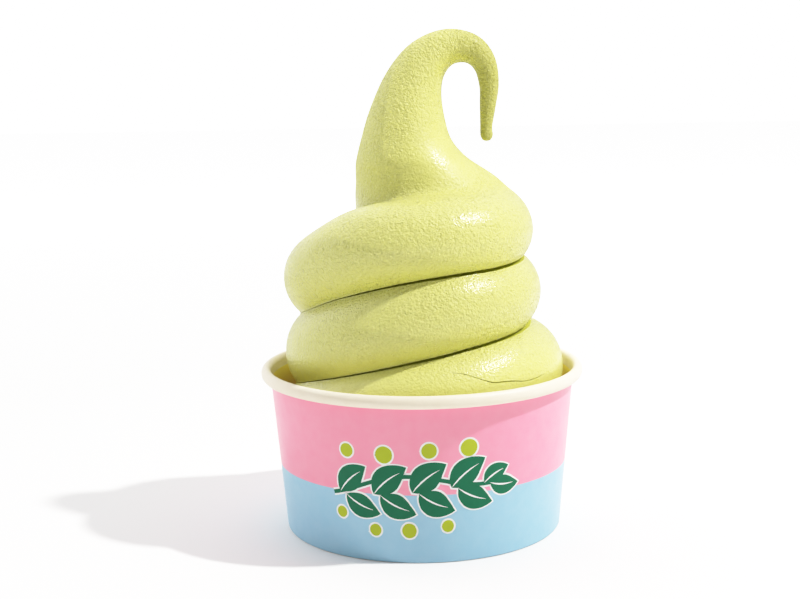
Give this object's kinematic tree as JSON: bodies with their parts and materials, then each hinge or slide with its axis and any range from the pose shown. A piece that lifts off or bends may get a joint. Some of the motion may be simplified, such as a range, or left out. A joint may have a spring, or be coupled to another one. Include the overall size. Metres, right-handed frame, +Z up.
{
  "type": "cup of soft serve",
  "caption": "A swirl of soft serve with a hooked tip, piped into a squat printed paper cup.",
  "frame": {"origin": "on the table under the middle of the cup, which is the middle of the object's footprint", "axes": "+Z up along the cup's axis, -Y towards the viewer of the picture, +X to the viewer's right, the side the tip hooks to"},
  "size_m": [0.096, 0.096, 0.147],
  "materials": {
    "printed_paper": "satin",
    "plain_paper": "matte",
    "soft_serve": "satin"
  },
  "bodies": {
    "root": {"cup_wall": "printed_paper", "cup_base": "plain_paper", "soft_serve": "soft_serve"}
  },
  "joints": []
}
